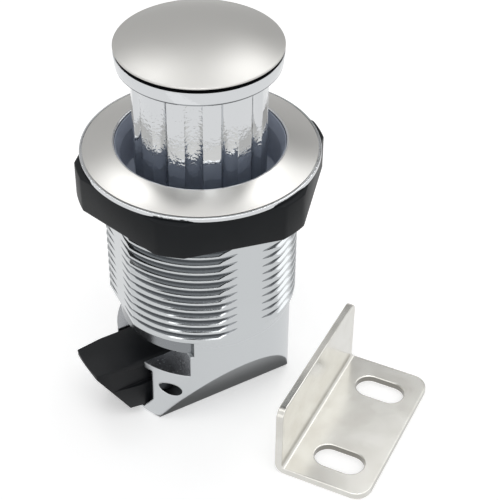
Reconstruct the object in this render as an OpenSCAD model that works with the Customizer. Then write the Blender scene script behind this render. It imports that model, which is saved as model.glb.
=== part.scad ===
// Push button cabinet lock with a spring bolt, a ring nut and an angled strike plate.
// Z runs along the lock towards the button, and z = 0 is the face that seats on the panel.
// The bolt points along -X. The strike plate lies beside the lock, on the same surface.

/* [Thread] */
// Outside diameter of the thread, which passes through the panel
thread_d = 27; // [24:0.1:30]
// Distance from one crest to the next
thread_pitch = 1.34; // [1.3:0.01:1.8]
// Depth of the thread
thread_depth = 0.8; // [0.5:0.05:0.85]
// Flat at the bottom of each groove
thread_root_flat = 0.18; // [0.1:0.01:0.25]
// Length of the thread, with its run-out
thread_len = 22.4; // [20:0.1:24.5]
// Smooth neck between the flange and the thread
neck_len = 1.2; // [1:0.1:2]
// Depth of the four flats along the thread
flat_depth = 0.92; // [0.82:0.02:1.2]
// Wall of the barrel inside the thread
barrel_wall = 1.25; // [1:0.05:1.6]

/* [Rosette and flange] */
// How far the barrel's own flange stands out past the thread, under the rosette
flange_lip = 1.4; // [0.8:0.1:3]
// Thickness of that flange
flange_t = 0.5; // [0.35:0.05:0.52]
// Rim of the rosette round that flange
rosette_lip = 1.5; // [1:0.1:3]
// Height of the rosette at its opening
rosette_rise = 1.8; // [1.4:0.1:3]
// Height of the rosette at its rim
rosette_rim_h = 0.6; // [0.55:0.05:1]
// Gap between the cap and the opening of the rosette
cap_gap = 0.5; // [0.3:0.05:1]

/* [Guide cup] */
// Wall of the cup
cup_wall = 0.5; // [0.4:0.05:0.55]
// How far the rim that holds the cup under the rosette stands out past the bore
cup_rim_lip = 0.85; // [0.6:0.05:1]
// Depth of that rim below the panel face
cup_rim_sink = 0.4; // [0.3:0.05:0.6]
// Depth of the cup's floor below the panel face
cup_depth = 5.3; // [4:0.1:7]
// Thickness of the cup's floor, which guides the stem
cup_floor_t = 1.5; // [1:0.1:2.5]

/* [Button] */
// Room between the fluted stem and the bore of the barrel
stem_room = 2.35; // [2.2:0.05:2.8]
// Number of flutes round the stem
flute_count = 12; // [8:1:14]
// Radius of a flute's hollow
flute_r = 2; // [1.6:0.1:2.4]
// Depth of a flute
flute_depth = 0.45; // [0.2:0.05:0.5]
// Turn of the flutes about the axis
flute_turn = 25.5; // [0:0.5:30]
// How far the button travels when it is pushed in
button_travel = 14; // [10:0.1:15]
// Room left under the rim of the button when it is in
press_gap = 0.2; // [0.1:0.05:1]
// How far the flared rim lies inside the cap's edge at its foot
rim_low_inset = 0.6; // [0.4:0.05:1]
// How far the flared rim lies inside the cap's edge at its top
rim_top_inset = 0.2; // [0.1:0.05:0.4]
// Height of the flared rim
rim_h = 1.8; // [1.4:0.1:2.6]
// Dark joint between the rim and the cap
cap_joint = 0.2; // [0.1:0.05:0.4]
// Depth of that joint
cap_joint_depth = 0.85; // [0.4:0.05:1.6]
// Room between the domed cap and the bore of the barrel
cap_room = 0.3; // [0.2:0.05:0.4]
// Straight edge of the cap
cap_edge = 0.3; // [0.2:0.05:0.6]
// Rise of the dome
dome_rise = 2.1; // [1:0.1:3]
// Diameter of the boss under the cap
cap_boss_d = 7; // [6:0.1:8]
// Depth of that boss
cap_boss_h = 2; // [1.2:0.1:2.4]
// Wall of the hollow stem
stem_wall = 2.5; // [2:0.1:2.7]
// Web between the boss and the bore, which the screw clamps
stem_web = 1.5; // [1:0.1:2.5]
// Diameter of the cap screw
cap_screw_d = 3; // [2.5:0.1:3.5]
// Diameter of the cap screw's head
cap_screw_head_d = 5.6; // [5:0.1:6]
// Height of the cap screw's head
cap_screw_head_h = 1.3; // [1:0.1:1.6]
// How far the cap screw reaches past the boss
cap_screw_reach = 1.2; // [0.5:0.1:2]

/* [Stem clip] */
// Depth of the stem's groove for the clip
clip_groove = 0.6; // [0.5:0.05:0.9]
// How far the clip stands out past the stem
clip_lip = 1.2; // [0.7:0.05:1.3]
// Thickness of the clip
clip_t = 0.85; // [0.6:0.05:1.2]
// Open angle of the clip
clip_gap_angle = 50; // [20:5:80]
// Stem left below the clip
stem_end = 0.8; // [0.5:0.1:1.5]

/* [Push ratchet] */
// Wall of the ratchet sleeve under the guide cup
sleeve_wall = 0.8; // [0.6:0.05:0.8]
// Room between the ratchet ring and the bore of the barrel
ratchet_room = 0.45; // [0.25:0.05:0.9]
// Room between the ratchet ring and the washer inside it
ratchet_hole_room = 0.5; // [0.3:0.05:0.8]
// Thickness of the ratchet ring without its teeth
ratchet_t = 1.2; // [0.8:0.1:2]
// Height of the ratchet teeth
ratchet_tooth_h = 0.9; // [0.5:0.1:1.2]
// Number of ratchet teeth
ratchet_teeth = 12; // [8:1:14]
// Gap between the pushed-in stem and the ratchet teeth
ratchet_gap = 0.4; // [0.3:0.05:1]

/* [Plunger and button spring] */
// Diameter of the lock plunger
plunger_d = 5.2; // [4:0.1:5.6]
// Thickness of the plunger's head
plunger_head_t = 2.4; // [2:0.1:4]
// Gap between the pushed-in plunger and the bolt
plunger_gap = 0.5; // [0.3:0.1:2]
// Wire of the button spring
button_spring_wire = 0.9; // [0.6:0.05:1.1]
// Room between the button spring and the bore of the stem
button_spring_room = 0.55; // [0.3:0.05:1]
// Turns of the button spring
button_spring_turns = 11; // [6:1:12]
// How far the washer under the button spring reaches past the bore of the stem
washer_lip = 0.3; // [0.1:0.05:0.6]
// Thickness of that washer
washer_t = 0.5; // [0.3:0.05:0.8]

/* [Block] */
// How far the block below the thread lies inside the thread's crests
block_step = 0.7; // [0.5:0.05:0.8]
// Floor between the barrel's bore and the notch above the bolt
block_roof_t = 1.65; // [1.2:0.05:3]
// Height of the notch above the bolt
notch_h = 3.75; // [2:0.05:5]
// Depth of the notch from the side of the block
notch_depth = 5; // [4:0.1:6.5]
// Depth of the turned recess above the notch
band_recess = 0.45; // [0.2:0.05:0.6]
// Floor under the bolt
block_floor_t = 1.4; // [1.1:0.1:3]
// Wall on either side of the bolt at the bottom, between the sloping sides
bottom_wall = 2.2; // [1.7:0.1:4]
// Height of the sloping sides
slope_h = 11.1; // [6:0.1:12]
// Small chamfer round the bottom edge
bottom_chamfer = 0.9; // [0.3:0.1:1.2]

/* [Bolt] */
// Width of the bolt in its way
bolt_w = 8; // [6:0.1:9]
// Width of the bolt at its tip
bolt_tip_w = 6.2; // [4:0.1:6.6]
// Height of the bolt
bolt_h = 8.6; // [7:0.1:11]
// How far the bolt stands out of the block
bolt_reach = 6.2; // [5:0.1:8]
// How far the bolt slides back
bolt_travel = 6.2; // [4:0.1:6.6]
// Wall of the block behind the bolt
back_wall = 2.4; // [2:0.1:4]
// Clearance round the bolt
bolt_clear = 0.12; // [0.08:0.01:0.25]
// Room left behind the bolt when it is in
bolt_stop_gap = 0.7; // [0.3:0.1:0.9]
// Blunt edge at the tip
bolt_tip_t = 0.4; // [0.2:0.05:0.8]
// Drop of the nose's top from the block to the tip
bolt_nose_drop = 0.5; // [0.1:0.05:1]
// Length of the bevel under the nose
bolt_bevel = 4.9; // [3:0.1:6]
// Chamfer along the top edges
bolt_chamfer = 0.5; // [0.2:0.05:0.7]
// Depth of the grooves along the sides
bolt_groove = 0.65; // [0.3:0.05:0.8]
// Land above a side groove
bolt_groove_land = 0.9; // [0.7:0.05:1.2]

/* [Bolt pin, spring and opening] */
// Diameter of the pin beside the bolt
bolt_pin_d = 2.2; // [1.6:0.1:2.4]
// Distance of the pin from the side of the block
bolt_pin_inset = 2.9; // [2.6:0.1:3.6]
// Drop of the pin below the top of the bolt
bolt_pin_drop = 3.3; // [2.6:0.05:4]
// Length of the pin
bolt_pin_len = 3.4; // [2.5:0.1:4]
// Wire of the bolt spring
bolt_spring_wire = 0.6; // [0.4:0.05:0.7]
// Room between the bolt spring and its bore
bolt_spring_room = 0.3; // [0.15:0.05:0.4]
// Turns of the bolt spring
bolt_spring_turns = 11; // [6:1:12]
// Bore in the bolt for its spring
bolt_bore_d = 5.2; // [5:0.1:5.8]
// Depth of that bore
bolt_bore_depth = 7.5; // [5:0.1:9]
// Diameter of the pin inside the bolt spring
spring_pin_d = 2.4; // [1.6:0.1:2.6]
// How far that pin is let into the block
spring_pin_hold = 1.1; // [0.6:0.1:1.2]
// Length of that pin in the open
spring_pin_len = 6.1; // [3:0.1:6.5]
// How far the relief round the bolt's opening reaches past the bolt on each side
mouth_side = 1.4; // [0.7:0.1:1.7]
// Depth of that relief
mouth_depth = 1.9; // [0.8:0.1:2.2]
// Lip left above the relief
mouth_lip = 1; // [0.6:0.1:1.5]
// How far the relief draws in again at its bottom
mouth_draw = 1.7; // [1:0.1:2]
// Height of the relief's slanted lower corners
mouth_slant = 2.7; // [1.5:0.1:3.5]

/* [Ring nut] */
// Wall of the nut at its flats
nut_wall = 2.25; // [1.6:0.05:4]
// How far the turned corners stand out past the flats
nut_corner = 1.4; // [0.6:0.05:2]
// Height of the nut
nut_h = 5.5; // [4:0.1:8]
// Turn of the nut about the lock's axis
nut_turn = 46.5; // [0:0.5:60]

/* [Strike plate] */
// Length of the strike plate along its fold
strike_len = 26; // [24:0.5:34]
// Depth of the base from the outside of the upright
strike_base = 13.9; // [13:0.1:18]
// Height of the upright
strike_h = 12; // [8:0.1:16]
// Thickness of the sheet
strike_t = 1.1; // [0.8:0.1:1.5]
// Radius inside the fold
strike_fold_r = 0.5; // [0.3:0.1:1]
// Radius of the base's corners
strike_corner_r = 2.4; // [1:0.1:3]
// Radius of the upright's corners
strike_top_r = 1.5; // [0.5:0.1:2]
// Distance between the two slots
strike_pitch = 15.6; // [14:0.1:20]
// Length of a slot
slot_len = 7.4; // [6:0.1:9]
// Width of a slot
slot_w = 4.2; // [3.5:0.1:5]
// Edge of the base to the slots
slot_edge = 2.4; // [1.5:0.1:3]
// Place of the strike plate beside the lock
strike_x = -2; // [-4:0.1:6]
// Distance of the strike plate in front of the lock
strike_y = -23.7; // [-34:0.1:-22]
// Turn of the strike plate on the surface
strike_turn = 33.2; // [0:0.2:60]

/* [Fits] */
// Radial clearance of parts that slide or turn
run_clear = 0.08; // [0.04:0.01:0.1]
// Clearance of parts that are pressed or set in
set_clear = 0.02; // [0.01:0.01:0.04]
// Axial play under the stem clip and round the ratchet ring
play = 0.2; // [0.1:0.05:0.4]

/* [Hidden] */
$fn = 96;
eps = 0.01;
past = 2;

thread_r = thread_d / 2;
root_r = thread_r - thread_depth;
bore_d = 2 * (root_r - barrel_wall);
flange_d = thread_d + 2 * flange_lip;
rosette_d = flange_d + 2 * rosette_lip;
block_r = thread_r - block_step;
nut_af = thread_d + 2 * nut_wall;
flank = thread_depth * tan(30);
thread_turns = floor((thread_len - thread_pitch / 2) / thread_pitch);
thread_end = -neck_len - thread_len;

// Round pieces of the button, each inside the other, from the bore of the barrel inwards
cap_d = bore_d - 2 * cap_room;
rosette_hole_d = cap_d + 2 * cap_gap;
cup_rim_d = bore_d + 2 * cup_rim_lip;
stem_d = bore_d - 2 * stem_room;
stem_bore_d = stem_d - 2 * stem_wall;
clip_groove_d = stem_d - 2 * clip_groove;
clip_d = stem_d + 2 * clip_lip;
button_spring_d = stem_bore_d - button_spring_wire - 2 * button_spring_room;
washer_d = stem_bore_d + 2 * washer_lip;
ratchet_d = bore_d - 2 * ratchet_room;
ratchet_hole_d = washer_d + 2 * ratchet_hole_room;

// Stack inside the barrel, from the cup's floor down to the bolt
cup_floor_low = -cup_depth - cup_floor_t;
clip_top = cup_floor_low - play;
stem_low = clip_top - clip_t - play / 2 - stem_end;
ratchet_h = ratchet_t + ratchet_tooth_h;
bore_floor = stem_low - button_travel - ratchet_gap - ratchet_h;
notch_roof = bore_floor - block_roof_t;
bolt_top = notch_roof - notch_h;
bolt_low = bolt_top - bolt_h;
way_low = bolt_low - bolt_clear;
bottom = way_low - block_floor_t;

// Places along the bolt, from the back of the block to the tip
way_end = block_r - back_wall;
bolt_back = way_end - bolt_stop_gap - bolt_travel;
bolt_tip_r = block_r + bolt_reach;
bolt_pin_x = block_r - bolt_pin_inset;
notch_x = block_r - notch_depth;
bolt_spring_d = bolt_bore_d - bolt_spring_wire - 2 * bolt_spring_room;
spring_pin_end = way_end + spring_pin_hold;
way_w = bolt_w + 2 * bolt_clear;
mouth_w = bolt_w + 2 * mouth_side;
mouth_low_w = mouth_w - 2 * mouth_draw;
bottom_w = bolt_w + 2 * bottom_wall;
bolt_axis_z = (bolt_top + bolt_low) / 2;
bolt_pin_z = bolt_top - bolt_pin_drop;
bolt_pin_r = bolt_pin_d / 2;
groove_top = bolt_top - bolt_groove_land;
groove_low = bolt_pin_z - bolt_pin_r - play / 2;
groove_y = bolt_w / 2 - bolt_groove;

// Stack of the button, from its rim up to the cap
rim_low = button_travel + press_gap;
rim_top = rim_low + rim_h;
joint_top = rim_top + cap_joint;
boss_low = joint_top - cap_boss_h;
stem_roof = boss_low - stem_web;
plunger_top = stem_roof - set_clear;
plunger_shoulder = plunger_top - plunger_head_t;
plunger_low = bolt_top + plunger_gap + button_travel;
washer_top = bore_floor + washer_t;
cap_r = cap_d / 2;
dome_r = (cap_r * cap_r + dome_rise * dome_rise) / (2 * dome_rise);
cap_hole_top = joint_top + cap_edge + dome_rise / 2;
spring_floor = bolt_back - bolt_bore_depth;

// A ring between two radii and two heights
module ring(r_out, r_in, low, high) {
    translate([0, 0, low]) difference() {
        cylinder(r = r_out, h = high - low);
        translate([0, 0, -past]) cylinder(r = r_in, h = high - low + 2 * past);
    }
}

// A round bar along X
module bar_x(r, x0, x1, z) {
    translate([x0, 0, z]) rotate([0, 90, 0]) cylinder(r = r, h = x1 - x0);
}

// An outline in Y and Z, drawn out along X
module prism_x(x0, x1, outline) {
    translate([x0, 0, 0]) rotate([90, 0, 90]) linear_extrude(x1 - x0) polygon(outline);
}

// A wire spring along Z, wound from z = 0 to z = length
module spring(mean_d, wire_d, length, turns) {
    steps = turns * 12;
    sides = 6;
    lead = (length - wire_d) / turns;
    slope = atan(lead / (PI * mean_d));
    points = [for (i = [0:steps]) let (a = i * 360 / 12) for (k = [0:sides - 1])
        let (b = k * 360 / sides, u = wire_d / 2 * cos(b), v = wire_d / 2 * sin(b))
        [(mean_d / 2 + u) * cos(a) + v * sin(slope) * sin(a),
         (mean_d / 2 + u) * sin(a) - v * sin(slope) * cos(a),
         wire_d / 2 + lead * a / 360 + v * cos(slope)]];
    walls = [for (i = [0:steps - 1]) for (k = [0:sides - 1])
        let (p = i * sides + k, q = i * sides + (k + 1) % sides)
        each [[p, p + sides, q + sides], [p, q + sides, q]]];
    first = [for (k = [1:sides - 2]) [0, k, k + 1]];
    last = [for (k = [1:sides - 2]) [steps * sides, steps * sides + k + 1, steps * sides + k]];
    polyhedron(points, concat(walls, first, last));
}

// Outline of the turned body: flange, neck, thread and block
function turned_outline() = concat(
    [[0, flange_t], [flange_d / 2, flange_t], [flange_d / 2, 0], [thread_r, 0], [thread_r, -neck_len]],
    [for (i = [0:thread_turns - 1]) let (z = -neck_len - i * thread_pitch) each [
        [root_r, z - flank],
        [root_r, z - flank - thread_root_flat],
        [thread_r, z - 2 * flank - thread_root_flat],
        [thread_r, z - thread_pitch]]],
    [[block_r, thread_end], [block_r, bottom + bottom_chamfer]],
    [[block_r - bottom_chamfer, bottom], [0, bottom]]);

module housing() {
    color("silver") difference() {
        rotate_extrude() polygon(turned_outline());
        thread_flats();
        translate([0, 0, bore_floor]) cylinder(d = bore_d, h = flange_t - bore_floor + past);
        translate([0, 0, -cup_rim_sink]) cylinder(d = cup_rim_d + 2 * set_clear, h = past);
        translate([0, 0, bolt_top]) cylinder(r = plunger_d / 2 + run_clear, h = bore_floor - bolt_top + eps);
        bolt_way();
        sloping_sides();
        bar_x(spring_pin_d / 2 + set_clear, way_end - eps, spring_pin_end + set_clear, bolt_axis_z);
        translate([-bolt_pin_x, 0, bolt_pin_z]) rotate([90, 0, 0])
            cylinder(r = bolt_pin_r + set_clear, h = thread_r);
    }
}

// Four flats along the thread
module thread_flats() {
    for (a = [0:90:270]) rotate(a) translate([thread_r - flat_depth, -thread_r, thread_end])
        cube([thread_r, thread_d, thread_len]);
}

// The bolt's way through the block, the notch over it and the relief round its opening
module bolt_way() {
    out = block_r + past;
    translate([-out, -way_w / 2, way_low]) cube([out + way_end, way_w, bolt_h + 2 * bolt_clear]);
    translate([-out, -out, bolt_top]) cube([out - notch_x, 2 * out, notch_h]);
    intersection() {
        ring(out, block_r - band_recess, notch_roof - eps, thread_end);
        translate([-out, -out, notch_roof - past]) cube([out - notch_x + band_recess, 2 * out, out]);
    }
    relief_top = bolt_top - mouth_lip;
    relief_low = way_low - bolt_clear;
    prism_x(-out, -block_r + mouth_depth, [
        [-mouth_w / 2, relief_top], [-mouth_w / 2, relief_low + mouth_slant], [-mouth_low_w / 2, relief_low],
        [mouth_low_w / 2, relief_low], [mouth_w / 2, relief_low + mouth_slant], [mouth_w / 2, relief_top]]);
}

// The two sloping sides of the block's lower end
module sloping_sides() {
    for (side = [-1, 1]) prism_x(-block_r - past, block_r + past, [
        [side * block_r, bottom + slope_h], [side * bottom_w / 2, bottom],
        [side * bottom_w / 2, bottom - past], [side * (block_r + past), bottom - past],
        [side * (block_r + past), bottom + slope_h]]);
}

module rosette() {
    hole_r = rosette_hole_d / 2;
    rim_r = rosette_d / 2;
    edge = 0.15;
    color("gainsboro") rotate_extrude() polygon([
        [hole_r, flange_t], [flange_d / 2 + set_clear, flange_t], [flange_d / 2 + set_clear, 0],
        [rim_r - edge, 0], [rim_r, edge], [rim_r, rosette_rim_h - edge], [rim_r - edge, rosette_rim_h],
        [hole_r + 2 * edge, rosette_rise], [hole_r, rosette_rise - edge]]);
}

module guide_cup() {
    outside = bore_d / 2 - set_clear;
    color("darkslategray") difference() {
        union() {
            translate([0, 0, cup_floor_low]) cylinder(r = outside, h = -cup_floor_low);
            translate([0, 0, -cup_rim_sink]) cylinder(d = cup_rim_d, h = cup_rim_sink + flange_t);
        }
        translate([0, 0, -cup_depth]) cylinder(r = outside - cup_wall, h = cup_depth + past);
        translate([0, 0, cup_floor_low - past])
            cylinder(r = stem_d / 2 + run_clear, h = cup_floor_t + 2 * past);
    }
}

module ratchet_sleeve() {
    outside = bore_d / 2 - set_clear;
    color("whitesmoke") ring(outside, outside - sleeve_wall, bore_floor + ratchet_h + play, cup_floor_low);
}

module ratchet_ring() {
    tooth_r = (ratchet_d + ratchet_hole_d) / 4;
    tooth_w = (ratchet_d - ratchet_hole_d) / 2 - 2 * play;
    tooth_l = PI * tooth_r / ratchet_teeth * 1.6;
    low = bore_floor + play / 2;
    color("ivory") {
        ring(ratchet_d / 2, ratchet_hole_d / 2, low, low + ratchet_t);
        for (i = [0:ratchet_teeth - 1]) rotate(i * 360 / ratchet_teeth)
            translate([tooth_r, 0, low + ratchet_t - eps]) rotate([90, 0, 90])
                linear_extrude(tooth_w, center = true)
                    polygon([[-tooth_l / 2, 0], [tooth_l / 2, 0], [tooth_l / 2, ratchet_tooth_h - play / 2]]);
    }
}

module spring_washer() {
    color("lightgray") ring(washer_d / 2, plunger_d / 2 + play, bore_floor, washer_top);
}

module button_spring() {
    room = plunger_shoulder - washer_top;
    color("slategray") translate([0, 0, washer_top + set_clear])
        spring(button_spring_d, button_spring_wire, room - 2 * set_clear, button_spring_turns);
}

// The stem's outside, with hollow flutes all round
module fluted_bar(low, high) {
    difference() {
        translate([0, 0, low]) cylinder(d = stem_d, h = high - low);
        for (i = [0:flute_count - 1]) rotate(flute_turn + i * 360 / flute_count)
            translate([stem_d / 2 + flute_r - flute_depth, 0, low - past])
                cylinder(r = flute_r, h = high - low + 2 * past);
    }
}

module button_stem() {
    color("silver") difference() {
        union() {
            fluted_bar(stem_low, rim_low + rim_h / 2);
            translate([0, 0, rim_low])
                cylinder(r1 = cap_r - rim_low_inset, r2 = cap_r - rim_top_inset, h = rim_h);
            translate([0, 0, rim_top - eps]) cylinder(r = cap_r - cap_joint_depth, h = cap_joint + eps);
        }
        translate([0, 0, stem_low - past]) cylinder(d = stem_bore_d, h = stem_roof - stem_low + past);
        translate([0, 0, boss_low]) cylinder(r = cap_boss_d / 2 + set_clear, h = cap_boss_h + past);
        translate([0, 0, stem_roof - past])
            cylinder(r = cap_screw_d / 2 + set_clear, h = stem_web + 2 * past);
        ring(stem_d, clip_groove_d / 2, clip_top - clip_t - play / 2, clip_top);
    }
}

module button_cap() {
    edge_top = joint_top + cap_edge;
    color("lightgray") difference() {
        union() {
            translate([0, 0, joint_top]) cylinder(r = cap_r, h = cap_edge);
            translate([0, 0, boss_low]) cylinder(d = cap_boss_d, h = cap_boss_h + eps);
            intersection() {
                translate([0, 0, edge_top + dome_rise - dome_r]) sphere(r = dome_r);
                translate([0, 0, edge_top - eps]) cylinder(r = cap_r, h = 2 * dome_rise);
            }
        }
        translate([0, 0, boss_low - past])
            cylinder(r = cap_screw_d / 2 + set_clear, h = cap_hole_top - boss_low + past);
    }
}

module cap_screw() {
    socket_w = cap_screw_head_d / 4;
    color("dimgray") difference() {
        union() {
            translate([0, 0, stem_roof - cap_screw_head_h])
                cylinder(d = cap_screw_head_d, h = cap_screw_head_h);
            translate([0, 0, stem_roof - eps])
                cylinder(d = cap_screw_d, h = stem_web + cap_screw_reach + eps);
        }
        for (a = [0, 90]) rotate(a) translate([0, 0, stem_roof - cap_screw_head_h])
            cube([cap_screw_head_d / 2, socket_w / 2, cap_screw_head_h], center = true);
    }
}

module stem_clip() {
    color("dimgray") difference() {
        ring(clip_d / 2, clip_groove_d / 2 + set_clear, clip_top - clip_t, clip_top);
        translate([0, 0, clip_top - clip_t - past]) linear_extrude(clip_t + 2 * past)
            polygon([[0, 0], clip_d * [cos(clip_gap_angle / 2), -sin(clip_gap_angle / 2)],
                     clip_d * [cos(clip_gap_angle / 2), sin(clip_gap_angle / 2)]]);
    }
}

module lock_plunger() {
    head_room = cap_screw_head_h + play;
    color("dimgray") difference() {
        union() {
            translate([0, 0, plunger_shoulder]) cylinder(r = stem_bore_d / 2 - run_clear, h = plunger_head_t);
            translate([0, 0, plunger_low]) cylinder(d = plunger_d, h = plunger_shoulder - plunger_low + eps);
        }
        translate([0, 0, plunger_top - head_room])
            cylinder(r = cap_screw_head_d / 2 + play, h = head_room + past);
    }
}

// Side view of the bolt: flat top, sloping nose, blunt tip and bevelled underside
module bolt_side() {
    rotate([90, 0, 0]) linear_extrude(bolt_w, center = true) polygon([
        [bolt_back, bolt_top], [-block_r, bolt_top], [-bolt_tip_r, bolt_top - bolt_nose_drop],
        [-bolt_tip_r, bolt_top - bolt_nose_drop - bolt_tip_t], [-bolt_tip_r + bolt_bevel, bolt_low],
        [bolt_back, bolt_low]]);
}

// View of the bolt from above: straight in its way, narrowing to the tip
module bolt_plan() {
    translate([0, 0, bolt_low - past]) linear_extrude(bolt_h + 2 * past) polygon([
        [bolt_back, -bolt_w / 2], [bolt_back, bolt_w / 2], [-block_r, bolt_w / 2],
        [-bolt_tip_r, bolt_tip_w / 2], [-bolt_tip_r, -bolt_tip_w / 2], [-block_r, -bolt_w / 2]]);
}

module bolt() {
    groove_end = -bolt_pin_x + bolt_pin_r + play / 2;
    edge_y = bolt_w / 2 - bolt_chamfer;
    edge_z = bolt_top - bolt_chamfer;
    color([0.16, 0.17, 0.18]) difference() {
        intersection() {
            bolt_side();
            bolt_plan();
            translate([0, 0, bolt_low - past]) cylinder(r = bolt_tip_r, h = bolt_h + 2 * past);
        }
        for (side = [-1, 1]) {
            prism_x(-bolt_tip_r - past, groove_end, [
                [side * groove_y, groove_top], [side * bolt_w, groove_top],
                [side * bolt_w, groove_low], [side * groove_y, groove_low]]);
            prism_x(-bolt_tip_r - past, bolt_back + past, [
                [side * edge_y, bolt_top], [side * edge_y, bolt_top + past], [side * bolt_w, bolt_top + past],
                [side * bolt_w, edge_z], [side * bolt_w / 2, edge_z]]);
        }
        bar_x(bolt_bore_d / 2, spring_floor, bolt_back + past, bolt_axis_z);
    }
}

module bolt_pin() {
    color("gainsboro") translate([-bolt_pin_x, -groove_y - play, bolt_pin_z]) rotate([90, 0, 0])
        cylinder(d = bolt_pin_d, h = bolt_pin_len);
}

module bolt_spring() {
    room = way_end - spring_floor;
    color("slategray") translate([spring_floor + set_clear, 0, bolt_axis_z]) rotate([0, 90, 0])
        spring(bolt_spring_d, bolt_spring_wire, room - 2 * set_clear, bolt_spring_turns);
}

module spring_pin() {
    color("gainsboro") bar_x(spring_pin_d / 2, way_end - spring_pin_len, spring_pin_end, bolt_axis_z);
}

module ring_nut() {
    color([0.12, 0.13, 0.14]) translate([0, 0, -nut_h - play / 4]) rotate(nut_turn) difference() {
        intersection() {
            cylinder(r = nut_af / 2 / cos(30), h = nut_h, $fn = 6);
            cylinder(r = nut_af / 2 + nut_corner, h = nut_h);
        }
        translate([0, 0, -past]) cylinder(r = thread_r + run_clear, h = nut_h + 2 * past);
    }
}

// Rounds one upright corner of a sheet: what lies outside a quarter circle at the origin, past +X and +Y
module corner_cut(r, depth) {
    translate([0, 0, -past]) difference() {
        translate([-r, -r, 0]) cube([r + past, r + past, depth + 2 * past]);
        translate([-r, -r, -past]) cylinder(r = r, h = depth + 4 * past);
    }
}

// A slot along Y with round ends, drawn through the base
module slot() {
    half = (slot_len - slot_w) / 2;
    translate([0, 0, -past]) {
        translate([-slot_w / 2, -half, 0]) cube([slot_w, 2 * half, strike_t + 2 * past]);
        for (side = [-1, 1]) translate([0, side * half, 0]) cylinder(d = slot_w, h = strike_t + 2 * past);
    }
}

module strike_plate() {
    out_r = strike_fold_r + strike_t;
    arc = [for (a = [0:15:90]) [-out_r + out_r * sin(a), out_r - out_r * cos(a)]];
    inner = [for (a = [90:-15:0]) [-out_r + strike_fold_r * sin(a), out_r - strike_fold_r * cos(a)]];
    upright = [[0, strike_h], [-strike_t, strike_h]];
    sheet = concat([[-strike_base, 0]], arc, upright, inner, [[-strike_base, strike_t]]);
    color("lightgray") translate([strike_x, strike_y, bottom]) rotate(strike_turn) difference() {
        prism_x(0, strike_len, sheet);
        translate([strike_len, -strike_base, 0]) rotate(-90) corner_cut(strike_corner_r, strike_t);
        translate([0, -strike_base, 0]) rotate(180) corner_cut(strike_corner_r, strike_t);
        translate([strike_len, 0, strike_h]) rotate([90, 0, 0]) corner_cut(strike_top_r, strike_t);
        translate([0, -strike_t, strike_h]) rotate([90, 0, 180]) corner_cut(strike_top_r, strike_t);
        for (side = [-1, 1])
            translate([(strike_len + side * strike_pitch) / 2, -strike_base + slot_edge + slot_len / 2, 0]) slot();
    }
}

housing();
rosette();
guide_cup();
ratchet_sleeve();
ratchet_ring();
spring_washer();
button_spring();
button_stem();
button_cap();
cap_screw();
stem_clip();
lock_plunger();
bolt();
bolt_pin();
bolt_spring();
spring_pin();
ring_nut();
strike_plate();
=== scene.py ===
import math

import bmesh
import bpy
from mathutils import Matrix, Vector


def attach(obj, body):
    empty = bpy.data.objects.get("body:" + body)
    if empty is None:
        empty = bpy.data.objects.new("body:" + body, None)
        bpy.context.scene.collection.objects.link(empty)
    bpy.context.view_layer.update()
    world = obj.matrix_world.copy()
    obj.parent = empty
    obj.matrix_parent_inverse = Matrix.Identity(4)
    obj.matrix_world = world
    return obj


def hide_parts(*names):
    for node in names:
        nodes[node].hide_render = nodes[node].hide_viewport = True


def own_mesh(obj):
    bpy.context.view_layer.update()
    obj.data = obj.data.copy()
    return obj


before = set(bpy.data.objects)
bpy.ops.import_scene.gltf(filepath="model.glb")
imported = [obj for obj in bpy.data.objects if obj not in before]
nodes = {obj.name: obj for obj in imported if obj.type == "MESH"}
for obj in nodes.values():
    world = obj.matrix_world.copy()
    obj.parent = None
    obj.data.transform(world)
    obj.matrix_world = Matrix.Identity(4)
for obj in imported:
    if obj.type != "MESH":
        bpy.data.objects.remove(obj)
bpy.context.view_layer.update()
mm = 0.001
print("frame loaded:", len(nodes), "nodes")


# colour and node helpers

def linear(hexColour):
    parts = [int(hexColour[at:at + 2], 16) / 255 for at in (1, 3, 5)]
    return [part / 12.92 if part <= 0.04045 else ((part + 0.055) / 1.055) ** 2.4 for part in parts] + [1]


def addNode(tree, kind, inputs=None, links=(), **settings):
    node = tree.nodes.new(kind)
    for key, value in settings.items():
        setattr(node, key, value)
    for key, value in (inputs or {}).items():
        node.inputs[key].default_value = value
    for source, output, key in links:
        tree.links.new(source.outputs[output], node.inputs[key])
    return node


def perMm(size):
    return 1 / (size * mm)  # texture scale for a pattern of this many millimetres


def startMaterial(name):
    material = bpy.data.materials.new(name)
    material.use_nodes = True
    material.node_tree.nodes.clear()
    return material, material.node_tree


def finishMaterial(tree, inputs, links):
    shader = addNode(tree, "ShaderNodeBsdfPrincipled", inputs, links)
    addNode(tree, "ShaderNodeOutputMaterial", links=[(shader, "BSDF", "Surface")])


# materials

# chrome plating on a zinc die-casting: the cast skin shows through as a faint ripple and grain, and the
# block under the thread is duller than the thread
dieCast = {
    "colour": "#C4C7C9", "threadRough": 0.09, "blockRough": 0.34, "blockTop": -23.6, "fade": 2.0,
    "threadEdge": 0.1, "blockEdge": 0.35, "smoother": 0.02, "rougher": 0.03,
    "ripple": 2.6, "rippleBump": 0.08, "rippleDeep": 0.05, "grain": 0.3, "grainBump": 0.06, "grainDeep": 0.02,
}
chromedZinc, tree = startMaterial("chromed zinc die-casting")
where = [(addNode(tree, "ShaderNodeTexCoord"), "Object", "Vector")]
grain, ripple = [
    addNode(tree, "ShaderNodeTexNoise", {"Scale": perMm(dieCast[size]), "Detail": detail}, where)
    for size, detail in (("grain", 3.0), ("ripple", 1.0))]
place = addNode(tree, "ShaderNodeSeparateXYZ", links=where)
upTheBlock = {"From Min": (dieCast["blockTop"] - dieCast["fade"]) * mm, "From Max": dieCast["blockTop"] * mm}
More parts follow.
